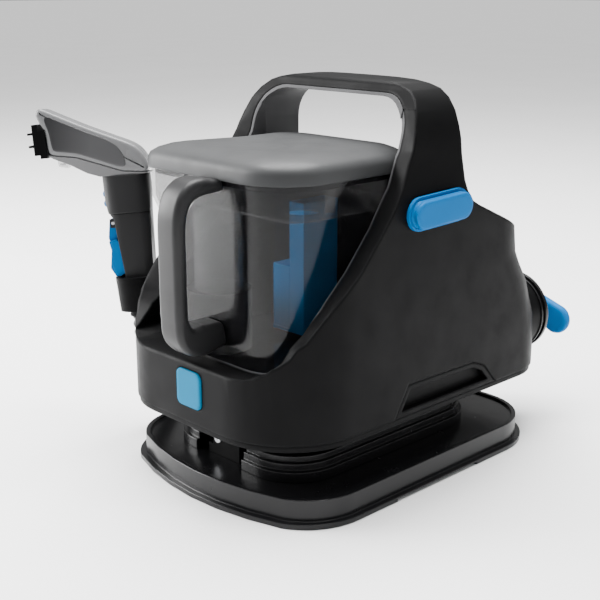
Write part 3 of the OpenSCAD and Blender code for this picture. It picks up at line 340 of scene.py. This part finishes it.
def metal(name, colour, rough):
    material, tree, shader = new_material(name)
    where = place(tree)
    tree.links.new(ramp(tree, noise(tree, where, 60, 4), [c * .85 for c in colour], colour),
                   shader.inputs["Base Color"])
    tree.links.new(spread(tree, noise(tree, where, 700, 3), rough * .8, rough * 1.3),
                   shader.inputs["Roughness"])
    shader.inputs["Metallic"].default_value = 1.0
    return material


steel = metal("zinc_steel", (.55, .56, .58), .34)
hose.data.materials.append(hose_skin)
print("finishes:", len(bpy.data.materials))

# %% [markdown]
# ## Smooth shading for the solids
# A solid comes as flat facets. A small set of geometry nodes joins its vertices again and shades
# gentle turns smooth while true edges stay sharp, so nothing in the solid itself is changed.

# %% Shade the solids
def shading_group(name, angle):
    group = bpy.data.node_groups.new(name, "GeometryNodeTree")
    group.interface.new_socket("Geometry", in_out="INPUT", socket_type="NodeSocketGeometry")
    group.interface.new_socket("Geometry", in_out="OUTPUT", socket_type="NodeSocketGeometry")
    make = group.nodes.new
    start, end = make("NodeGroupInput"), make("NodeGroupOutput")
    weld = make("GeometryNodeMergeByDistance")
    weld.inputs["Distance"].default_value = .000004
    clear = make("GeometryNodeRemoveAttribute")
    clear.inputs["Name"].default_value = "custom_normal"
    smooth = make("GeometryNodeSetShadeSmooth")
    sharp = make("GeometryNodeSetShadeSmooth")
    sharp.domain = "EDGE"
    sharp.inputs["Shade Smooth"].default_value = False
    edge_angle = make("GeometryNodeInputMeshEdgeAngle")
    over = make("FunctionNodeCompare")
    over.operation = "GREATER_THAN"
    over.inputs[1].default_value = math.radians(angle)
    link = group.links.new
    link(edge_angle.outputs["Unsigned Angle"], over.inputs[0])
    link(over.outputs[0], sharp.inputs["Selection"])
    chain = [start, clear, weld, smooth, sharp, end]
    for a, b in zip(chain, chain[1:]):
        link(a.outputs[0], b.inputs["Geometry"] if b is not end else b.inputs[0])
    return group


SHARP_ANGLE = 34
soft_edges = shading_group("soft_edges", SHARP_ANGLE)


def finish_node(material, *names):
    for name in names:
        thing = nodes[name]
        for slot in thing.material_slots:
            slot.material = material
        modifier = thing.modifiers.new("soft_edges", "NODES")
        modifier.node_group = soft_edges


finish_node(charcoal, "housing_shell", "belly_pan", "side_panel_right", "side_panel_left")
finish_node(painted_light_liner, "bay_liner")
finish_node(gloss_black, "base_tray", "waist_collar", "cord_hub")
finish_node(soft_black, "base_plate", "waist_column", "collar_bracket", "exhaust_grille", "tank_latch",
            "power_switch", "inlet_filter", "suction_duct", "fan_housing", "filler_cap", "water_pump",
            "recovery_tube", "tool_holster", "brush_block", "bristles", "hose_port")
finish_node(rubber, "base_pads", "lid_seal", "port_seal", "mains_inlet", "hose_cuff")
finish_node(key_blue, "release_button", "power_bezel", "power_button", "cord_hook", "trigger", "lock_button")
finish_node(guide_blue, "float_guide", "float")
finish_node(lid_grey, "tank_lid", "fan_impeller")
finish_node(bar_grey, "tank_handle")
finish_node(tool_grey, "nozzle_body")
finish_node(grip_grey, "grip_neck", "grip_handle")
finish_node(rim_grey, "nozzle_window")
finish_node(smoke, "tank_bowl", "clean_tank")
finish_node(pale_smoke, "standpipe", "splash_baffle", "water_tube", "spray_tip")
finish_node(steel, "case_screws", "release_spring", "latch_pin", "motor_shaft", "motor_can", "trigger_pin")
finish_node(green_board, "control_board")
print("solids finished:", sum(1 for o in nodes.values() if o.modifiers))

# %% [markdown]
# ## Slabs with a soft rim
# Keys, triggers and caps are flat mouldings whose rim is rounded over. The outline could be a curve
# with a bevel, but rings drawn in from the outline step by step give every rim its own section.

# %% Soft slabs
def drawn_in(outline, inset):
    """Moves each point of a closed outline inwards along its own normal."""
    p = np.array(outline, float)
    ahead, behind = np.roll(p, -1, axis=0), np.roll(p, 1, axis=0)
    run = ahead - behind
    run /= np.linalg.norm(run, axis=1)[:, None]
    normal = np.stack([-run[:, 1], run[:, 0]], axis=1)
    return p + normal * inset


def soft_slab(name, outline, section, to_world, body, finish, slot):
    """Rings over an outline: the section is a list of (inset, height)."""
    rings = [[to_world(u, v, h) for u, v in drawn_in(outline, inset)] for inset, h in section]
    return piece(name, *join_rings(rings), body=body, finish=finish, slot=slot)


def arc_points(cx, cy, r, first, last, count):
    return [(cx + r * math.cos(math.radians(first + (last - first) * i / count)),
             cy + r * math.sin(math.radians(first + (last - first) * i / count))) for i in range(count + 1)]


def round_box(w, h, r, cx=0.0, cy=0.0, count=8):
    x, y = w / 2 - r, h / 2 - r
    return (arc_points(cx + x, cy + y, r, 0, 90, count) + arc_points(cx - x, cy + y, r, 90, 180, count)
            + arc_points(cx - x, cy - y, r, 180, 270, count) + arc_points(cx + x, cy - y, r, 270, 360, count))


# %% [markdown]
# ## The keys on the body
# The power key is a long pill that stands 10 mm out of the side, with a groove round it that a
# thumb can feel. The release key at the front is a plain rounded square. Both keep the outline of
# their solids, and only their rims are new.

# %% Power and release keys
POWER_AT = (.0045, .233)
RIGHT_SIDE_X = .112


def on_right_side(u, v, h):
    tilt = math.radians(2)
    return (RIGHT_SIDE_X + h, POWER_AT[0] + u * math.cos(tilt) - v * math.sin(tilt),
            POWER_AT[1] + u * math.sin(tilt) + v * math.cos(tilt))


pill_section = [(0, -.004), (0, .0045), (.0009, .0050), (.0009, .0058), (0, .0063), (0, .0086),
                (.0004, .0093), (.0011, .0098), (.0022, .0100), (.0050, .0100)]
PILL_X, PILL_R = .0235, .011
pill = arc_points(PILL_X, 0, PILL_R, -90, 90, 28) + arc_points(-PILL_X, 0, PILL_R, 90, 270, 28)
power_key = soft_slab("power_key_cap", pill, pill_section, on_right_side, "power_key", key_blue, "blue")
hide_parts("power_button")


FRONT_Y, RELEASE_Z = -.161, .094


def on_front(u, v, h):
    return (u, FRONT_Y - h, RELEASE_Z + v)


key_section = [(0, -.0036), (0, .0008), (.0003, .0014), (.0010, .0018), (.0020, .0020), (.0040, .0020)]
release_key = soft_slab("release_key_cap", round_box(.030, .031, .0057), key_section, on_front,
                        "release", key_cyan, "blue")
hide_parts("release_button")
print("keys:", len(power_key.data.polygons), len(release_key.data.polygons))

# %% [markdown]
# ## The tank's handle
# A thick D of plastic that the whole hand goes through. It is one bar swept along a bent line, wide
# from side to side, thin in the middle of its run and thick where it joins the foot of the tank.

# %% Tank handle
bar_line = [(-.1340, .2560), (-.1420, .2558), (-.1510, .2563), (-.1600, .2545), (-.1672, .2490),
            (-.1717, .2400), (-.1738, .2280), (-.1740, .2080), (-.1740, .1880), (-.1740, .1680),
            (-.1735, .1535), (-.1700, .1420), (-.1625, .1360), (-.1530, .1345), (-.1430, .1352), (-.1340, .1365)]
bar_thick = [.0100, .0110, .0140, .0150, .0140, .0128, .0120, .0118, .0118, .0118, .0120, .0175, .0235,
             .0255, .0230, .0200]
BAR_WIDTH = .026
bar_path = spline([(0, y, z) for y, z in bar_line], 5)
bar_size = np.interp(np.linspace(0, 1, len(bar_path)), np.linspace(0, 1, len(bar_thick)), bar_thick)
bar_rings = []
for i, (at, thick) in enumerate(zip(bar_path, bar_size)):
    run = bar_path[min(i + 1, len(bar_path) - 1)] - bar_path[max(i - 1, 0)]
    run /= np.linalg.norm(run)
    out = np.array((0, run[2], -run[1]))
    bar_section = round_box(BAR_WIDTH, thick, min(.0052, thick * .45))
    bar_rings.append([tuple(at + np.array((u, 0, 0)) + out * v) for u, v in bar_section])
tank_bar = piece("tank_bar", *join_rings(bar_rings), body="tank", finish=bar_grey, slot="grey")
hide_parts("tank_handle")
print("handle rings:", len(bar_rings))

# %% [markdown]
# ## Where the hand tool stands
# The tool is drawn upright at its own foot, x along the nozzle and z up the grip. One helper turns
# it to its heading, leans it by 7 degrees and sets it in the holster, as the solids are.

# %% Tool frame
LEAN, HEADING = math.radians(-7), math.radians(228)
TOOL = (Matrix.Translation((-.147, -.100, .129)) @ Matrix.Rotation(LEAN, 4, "Y")
        @ Matrix.Rotation(HEADING, 4, "Z"))


def in_tool(x, y, z):
    return tuple(TOOL @ Vector((x, y, z)))


def across_tool(u, v, h):
    return in_tool(u, h, v)


# %% [markdown]
# ## The lock and the nozzle
# The small lock above the trigger has two lobes, so that the thumb finds it. The nozzle is a clear
# box with a smoked side panel let into each cheek. Its outline is drawn once, the cheeks are rounded
# over, and the panels follow the same outline a few millimetres further in.

# %% Lock and nozzle
def closed_spline(points, steps):
    """A smooth closed curve through the points."""
    p = [np.array((u, v, 0.0)) for u, v in points]
    n = len(p)
    out = []
    for i in range(n):
        a, b, c, d = p[i - 1], p[i], p[(i + 1) % n], p[(i + 2) % n]
        for k in range(steps):
            t = k / steps
            q = .5 * (2 * b + (c - a) * t + (2 * a - 5 * b + 4 * c - d) * t * t
                      + (3 * b - a - 3 * c + d) * t ** 3)
            out.append((q[0], q[1]))
    return out


lock_points = [(.0182, .0846), (.0215, .0848), (.0232, .0868), (.0232, .0895), (.0216, .0913), (.0216, .0932),
               (.0232, .0950), (.0232, .0978), (.0215, .1000), (.0182, .1001)]
lock_outline = closed_spline(lock_points, 4)
lock_cheeks = [(.0016, -.0060), (.0004, -.0056), (0, -.0048), (0, .0048), (.0004, .0056), (.0016, .0060)]
lock = soft_slab("lock_slide", lock_outline, lock_cheeks, across_tool, "lock", key_blue, "blue")
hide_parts("lock_button")


def filled_in(corners, step=.003):
    """Adds points along the straight edges of a closed outline."""
    out = []
    for (x0, z0), (x1, z1) in zip(corners, corners[1:] + corners[:1]):
        count = max(1, round(math.hypot(x1 - x0, z1 - z0) / step))
        out += [(x0 + (x1 - x0) * i / count, z0 + (z1 - z0) * i / count) for i in range(count)]
    return out


def eased(outline, rounds):
    """Softens the corners of a closed outline by averaging neighbours."""
    p = np.array(outline)
    for _ in range(rounds):
        p = .5 * p + .25 * np.roll(p, 1, axis=0) + .25 * np.roll(p, -1, axis=0)
    return p


nozzle_corners = [(.0020, .1160), (.0410, .1310), (.0650, .1350), (.0660, .1580), (.0700, .1635),
                  (.0728, .1668), (.0728, .1738), (.0700, .1778), (.0340, .1593), (.0150, .1505),
                  (-.0070, .1406), (-.0155, .1345), (-.0200, .1255), (-.0215, .1170), (-.0215, .1134)]
nozzle_outline = eased(filled_in(nozzle_corners), 3)
nozzle_cheeks = [(.0050, -.0172), (.0022, -.0171), (.0008, -.0164), (.0001, -.0152), (0, -.0140), (0, .0140),
                 (.0001, .0152), (.0008, .0164), (.0022, .0171), (.0050, .0172)]
nozzle = soft_slab("nozzle_shell", nozzle_outline, nozzle_cheeks, across_tool, "hand_tool", rim_grey, "smoke")
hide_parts("nozzle_window")
panel_corners = [(.0050, .1205), (.0400, .1350), (.0610, .1385), (.0625, .1560), (.0655, .1640),
                 (.0650, .1706), (.0330, .1545), (.0120, .1448), (.0035, .1380), (-.0010, .1290),
                 (-.0020, .1200)]
panel_outline = eased(filled_in(panel_corners, .002), 4)
panel_section = [(0, .0168), (0, .01738), (.0004, .01745), (.0020, .01745)]
tool_smoke, tree, shader = new_material("tool_smoke")
across = tree.nodes.new("ShaderNodeSeparateXYZ")
tree.links.new(place(tree), across.inputs["Vector"])
fade = tree.nodes.new("ShaderNodeMapRange")
fade.inputs["From Min"].default_value = -.205
fade.inputs["From Max"].default_value = -.165
tree.links.new(across.outputs["X"], fade.inputs["Value"])
tree.links.new(ramp(tree, fade.outputs["Result"], (.010, .010, .011), (.060, .060, .062), .1, .9),
               shader.inputs["Base Color"])
shader.inputs["Roughness"].default_value = .2
for side in (-1, 1):
    soft_slab("nozzle_panel", panel_outline, [(a, side * b) for a, b in panel_section], across_tool,
              "hand_tool", tool_smoke, "smoke")
print("nozzle points:", len(nozzle_outline))

# %% [markdown]
# ## The cord hook
# The hook is a round post with a drop-shaped blade that swings round behind the hub, so that a
# wound cord can be let off with one turn. The blade's rim is rounded wide, since a hand brushes it.

# %% Cord hook
HUB = (.062, .102)
BLADE_Y = .221


def behind(u, v, h):
    return (HUB[0] + u, BLADE_Y + h, HUB[1] + v)


def lathe_y(profile, count=40):
    """Rings about the hub's axis: the profile is a list of (radius, y)."""
    return [[(HUB[0] + r * math.cos(a), y, HUB[1] + r * math.sin(a))
             for a in np.linspace(0, 2 * math.pi, count, endpoint=False)] for r, y in profile]


drop = arc_points(.025, -.012, .0145, -115, 60, 18) + arc_points(0, 0, .011, 60, 245, 12)
blade_section = [(.0050, .0002), (.0022, .0006), (.0006, .0020), (0, .0040), (0, .0060), (.0006, .0080),
                 (.0022, .0094), (.0050, .0098)]
blade_outline = eased(filled_in(drop, .002), 2)
blade = soft_slab("hook_blade", blade_outline, blade_section, behind, "hook", key_blue, "blue")
post = piece("hook_post", *join_rings(lathe_y([(.004, .1812), (.004, .2014), (.0086, .2014), (.009, .2020),
                                               (.009, .2150), (.0096, .2190), (.0100, .2225)])),
             body="hook", finish=key_blue, slot="blue")
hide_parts("cord_hook")
print("hook faces:", len(blade.data.polygons) + len(post.data.polygons))

# %% [markdown]
# ## Filler cap and cuff
# The cap's edge is fluted so that wet fingers can turn it, and a bar stands across its top. The cuff
# that holds the hose under the grip is soft, with rings that let it bend.

# %% Cap and cuff
CAP = Matrix.Translation((.024, .112, .229 - .052 * math.tan(math.radians(23.8)))) @ Matrix.Rotation(
    math.radians(-23.8), 4, "X")


def fluted(radius, z, depth, count=96):
    return [tuple(CAP @ Vector(((radius - depth * (i % 4 == 0)) * math.cos(2 * math.pi * i / count),
                                (radius - depth * (i % 4 == 0)) * math.sin(2 * math.pi * i / count), z)))
            for i in range(count)]


cap_rings = [fluted(.0165, -.0009, 0), fluted(.0165, .0001, 0), fluted(.0186, .0002, .0007),
             fluted(.0189, .0008, .0007), fluted(.0189, .0024, .0007), fluted(.0180, .0030, .0003),
             fluted(.0120, .0031, 0)]
cap = piece("cap_disc", *join_rings(cap_rings), body="cap", finish=soft_black, slot="soft_black")
cap_bar_section = [(0, .0028), (0, .0050), (.0005, .0057), (.0012, .0060)]
soft_slab("cap_bar", round_box(.026, .004, .00199), cap_bar_section,
          lambda u, v, h: tuple(CAP @ Vector((u, v, h))), "cap", soft_black, "soft_black")
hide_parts("filler_cap")
cuff_profile = [(.0117, -.0170)]
for k in range(5):
    z = -.0160 + .0026 * k
    cuff_profile += [(.0119, z), (.0119, z + .0010), (.0108, z + .0014), (.0108, z + .0022)]
cuff_profile += [(.0119, -.0031), (.0135, -.0029), (.0139, -.0022), (.0139, -.0006), (.0132, -.0001)]
cuff = piece("cuff_sleeve", *join_rings([[in_tool(r * math.cos(a), r * math.sin(a), z)
                                          for a in np.linspace(0, 2 * math.pi, 36, endpoint=False)]
                                         for r, z in cuff_profile]),
             body="hand_tool", finish=rubber, slot="rubber")
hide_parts("hose_cuff")
print("cap and cuff faces:", len(cap.data.polygons), len(cuff.data.polygons))

# %% [markdown]
# ## Floor and light
# A pale card lies under the machine and runs far back, so it fills the frame. Black plastic shows
# whatever stands round it: a sky that is white above and dim near the floor gives a light scene
# and still leaves the glossy base dark. One large soft light stands at the left, another above.

# %% Studio
def card(name, size, z):
    half = size / 2
    corners = [(-half, -half, z), (half, -half, z), (half, half, z), (-half, half, z)]
    thing = piece(name, corners, [(0, 1, 2, 3)])
    return thing


floor = card("floor", 80, -.0005)
floor_paint, tree, shader = new_material("floor_paint")
tree.links.new(ramp(tree, noise(tree, place(tree), 3, 2), (.88, .88, .88), (.90, .90, .90)),
               shader.inputs["Base Color"])
shader.inputs["Roughness"].default_value = .8
floor.data.materials.append(floor_paint)

world = bpy.data.worlds.new("world")
bpy.context.scene.world = world
world.use_nodes = True
sky = world.node_tree
direction = sky.nodes.new("ShaderNodeTexCoord")
split = sky.nodes.new("ShaderNodeSeparateXYZ")
height = sky.nodes.new("ShaderNodeMapRange")
height.interpolation_type = "SMOOTHSTEP"
height.inputs["From Min"].default_value = .10
height.inputs["From Max"].default_value = .75
height.inputs["To Min"].default_value = .20
height.inputs["To Max"].default_value = 1.30
sky.links.new(direction.outputs["Generated"], split.inputs["Vector"])
sky.links.new(split.outputs["Z"], height.inputs["Value"])
sky.links.new(height.outputs["Result"], sky.nodes["Background"].inputs["Strength"])
sky.nodes["Background"].inputs["Color"].default_value = (1, 1, 1, 1)


def light(name, at, target, size, power):
    data = bpy.data.lights.new(name, "AREA")
    data.shape = "RECTANGLE"
    data.size = size[0]
    data.size_y = size[1]
    data.energy = power
    thing = bpy.data.objects.new(name, data)
    thing.location = at
    thing.rotation_euler = (Vector(target) - Vector(at)).to_track_quat("-Z", "Y").to_euler()
    bpy.context.scene.collection.objects.link(thing)


light("key", (-1.45, -1.05, .80), (0, 0, .16), (1.0, 1.2), 100)
light("top", (-.25, .25, 1.9), (0, 0, .1), (1.3, 1.3), 140)
print("lights:", len(bpy.data.lights))
